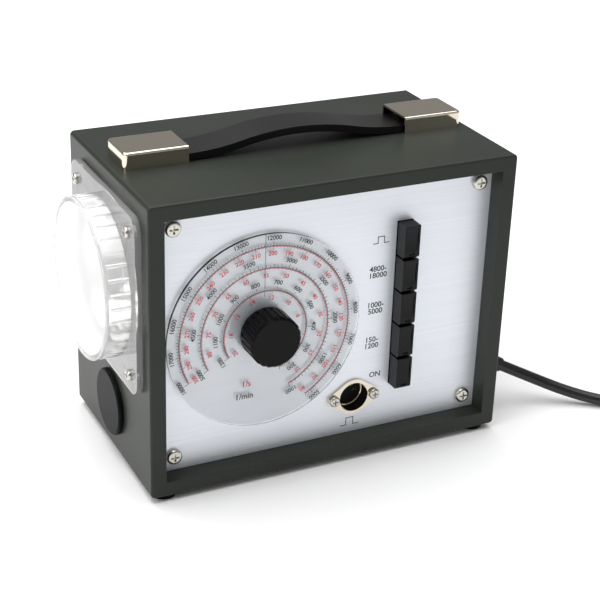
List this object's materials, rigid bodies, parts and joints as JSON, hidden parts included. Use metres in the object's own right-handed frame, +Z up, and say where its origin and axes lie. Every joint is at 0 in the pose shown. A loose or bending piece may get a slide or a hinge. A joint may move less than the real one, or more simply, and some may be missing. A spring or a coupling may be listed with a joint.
{
  "type": "xenon stroboscope",
  "caption": "Bench xenon stroboscope in a sheet-steel case with carry strap, side flash lamp under a clear ribbed cover, turning scale dial, push keys and trigger socket.",
  "frame": {"origin": "middle of the instrument's footprint on the table, without the mains cord", "axes": "+X to the right seen from the front, +Y to the back, +Z up"},
  "size_m": [0.4337, 0.1603, 0.1624],
  "materials": {
    "olive_paint": "satin",
    "plated_steel": "satin",
    "bright_screws": "polished",
    "brushed_aluminium": "brushed",
    "polished_aluminium": "polished",
    "clear_acrylic": "clear",
    "tube_glass": "clear",
    "black_knob": "semi-gloss",
    "black_keys": "gloss",
    "black_moulding": "matte",
    "black_strap": "satin",
    "nickel": "polished",
    "rubber": "matte",
    "brass": "satin",
    "ceramic": "glazed",
    "iron_core": "varnished",
    "board": "satin",
    "heat_sink": "anodised"
  },
  "bodies": {
    "instrument": {"case_sleeve": "olive_paint", "panel_rails": "plated_steel", "front_panel": "brushed_aluminium", "front_panel_screws": "bright_screws", "potentiometer": "black_moulding", "potentiometer_nut": "plated_steel", "key_switch_bank": "black_moulding", "key_bank_bracket": "plated_steel", "trigger_socket_shell": "nickel", "trigger_socket_insert": "black_moulding", "trigger_socket_contacts": "brass", "trigger_socket_screws": "bright_screws", "trigger_socket_nuts": "plated_steel", "lamp_cover": "clear_acrylic", "lamp_cover_screws": "bright_screws", "reflector": "polished_aluminium", "lamp_clamp_ring": "plated_steel", "lamp_holder": "ceramic", "flash_tube": "tube_glass", "flash_tube_electrodes": "brass", "side_plug": "black_moulding", "handle_caps": "nickel", "handle_strap": "black_strap", "handle_screws": "plated_steel", "rubber_feet": "rubber", "feet_screws": "plated_steel", "feet_nuts": "plated_steel", "chassis_tray": "plated_steel", "back_panel": "olive_paint", "back_panel_screws": "bright_screws", "fuse_holder": "black_moulding", "fuse_cap": "black_moulding", "fuse": "tube_glass", "transformer_core": "iron_core", "transformer_winding": "black_moulding", "transformer_clamp": "plated_steel", "transformer_screws": "plated_steel", "storage_capacitor": "black_moulding", "capacitor_clip": "plated_steel", "circuit_board": "board", "board_standoffs": "brass", "board_screws": "plated_steel", "board_capacitors": "black_moulding", "trigger_transformer": "black_moulding", "discharge_thyristor": "heat_sink", "strain_relief": "rubber", "mains_cord": "rubber", "cord_coil": "rubber", "cord_tail": "rubber", "mains_plug": "rubber", "plug_pins": "brass"},
    "dial": {"scale_disc": "clear_acrylic", "control_knob": "black_knob", "knob_grub_screw": "plated_steel", "potentiometer_shaft": "plated_steel"},
    "key_external_body": {"key_external": "black_keys"},
    "key_high_range_body": {"key_high_range": "black_keys"},
    "key_middle_range_body": {"key_middle_range": "black_keys"},
    "key_low_range_body": {"key_low_range": "black_keys"},
    "key_mains_body": {"key_mains": "black_keys"}
  },
  "joints": [
    {"name": "dial_turn", "type": "hinge", "parent": "instrument", "child": "dial", "pos_m": [-0.0264, -0.0461, 0.0772], "axis": [0, 1, 0], "range_deg": [-154.5, 116]},
    {"name": "key_external_push", "type": "slide", "parent": "instrument", "child": "key_external_body", "axis": [0, 1, 0], "range_m": [0, 0.003], "stiffness_N_per_m": 300, "springref_m": -0.001},
    {"name": "key_high_range_push", "type": "slide", "parent": "instrument", "child": "key_high_range_body", "axis": [0, 1, 0], "range_m": [0, 0.003], "stiffness_N_per_m": 300, "springref_m": -0.001},
    {"name": "key_middle_range_push", "type": "slide", "parent": "instrument", "child": "key_middle_range_body", "axis": [0, 1, 0], "range_m": [0, 0.003], "stiffness_N_per_m": 300, "springref_m": -0.001},
    {"name": "key_low_range_push", "type": "slide", "parent": "instrument", "child": "key_low_range_body", "axis": [0, 1, 0], "range_m": [0, 0.003], "stiffness_N_per_m": 300, "springref_m": -0.001},
    {"name": "key_mains_push", "type": "slide", "parent": "instrument", "child": "key_mains_body", "axis": [0, 1, 0], "range_m": [0, 0.003], "stiffness_N_per_m": 300, "springref_m": -0.001}
  ]
}
